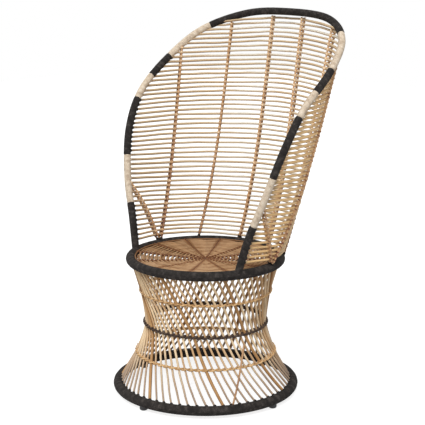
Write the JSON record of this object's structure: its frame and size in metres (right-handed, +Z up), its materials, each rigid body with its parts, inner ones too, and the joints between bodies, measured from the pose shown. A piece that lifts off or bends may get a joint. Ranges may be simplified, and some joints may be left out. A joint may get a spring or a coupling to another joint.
{
  "type": "peacock chair",
  "caption": "Rattan peacock chair: tall open back of level canes in a striped hoop, round wound seat, and a drum base of leaning canes between dark wrapped rings.",
  "frame": {"origin": "centre of the outline seen from above, at the floor", "axes": "+Z up, -Y is the front that a seated person faces, +X is the chair's right side seen from the front"},
  "size_m": [0.6926, 0.6894, 1.1688],
  "materials": {
    "cane_natural": "satin",
    "cane_golden": "satin",
    "wrapped_ring": "matte",
    "hoop_wrap_dark": "matte",
    "hoop_wrap_light": "matte",
    "foot": "matte"
  },
  "bodies": {
    "root": {"back_canes_left": "cane_natural", "back_canes_right": "cane_natural", "base_lattice": "cane_natural", "base_pole_1": "cane_golden", "base_pole_2": "cane_golden", "base_pole_3": "cane_golden", "base_pole_4": "cane_golden", "base_pole_5": "cane_golden", "base_pole_6": "cane_golden", "base_pole_7": "cane_golden", "base_ring": "wrapped_ring", "brace_front_left": "cane_golden", "brace_front_right": "cane_golden", "brace_rear_left": "cane_golden", "brace_rear_right": "cane_golden", "foot_back": "foot", "foot_front": "foot", "foot_left": "foot", "foot_right": "foot", "hoop_pole": "cane_golden", "hoop_wrap_01": "hoop_wrap_dark", "hoop_wrap_02": "hoop_wrap_light", "hoop_wrap_03": "hoop_wrap_dark", "hoop_wrap_04": "hoop_wrap_light", "hoop_wrap_05": "hoop_wrap_dark", "hoop_wrap_06": "hoop_wrap_light", "hoop_wrap_07": "hoop_wrap_dark", "hoop_wrap_08": "hoop_wrap_light", "hoop_wrap_09": "hoop_wrap_dark", "hoop_wrap_10": "hoop_wrap_light", "hoop_wrap_11": "hoop_wrap_dark", "hoop_wrap_12": "hoop_wrap_light", "hoop_wrap_13": "hoop_wrap_dark", "seat_ring": "wrapped_ring", "seat_spokes": "cane_golden", "seat_winding": "cane_natural", "stake_inner_rear_left": "cane_golden", "stake_inner_rear_right": "cane_golden", "stake_middle_front_left": "cane_golden", "stake_middle_front_right": "cane_golden", "stake_middle_rear_left": "cane_golden", "stake_middle_rear_right": "cane_golden", "stake_outer_front_left": "cane_golden", "stake_outer_front_right": "cane_golden", "stake_outer_rear_left": "cane_golden", "stake_outer_rear_right": "cane_golden", "upper_band_inner": "cane_golden", "upper_band_outer": "cane_golden", "waist_band_inner": "wrapped_ring", "waist_band_outer": "wrapped_ring"}
  },
  "joints": []
}
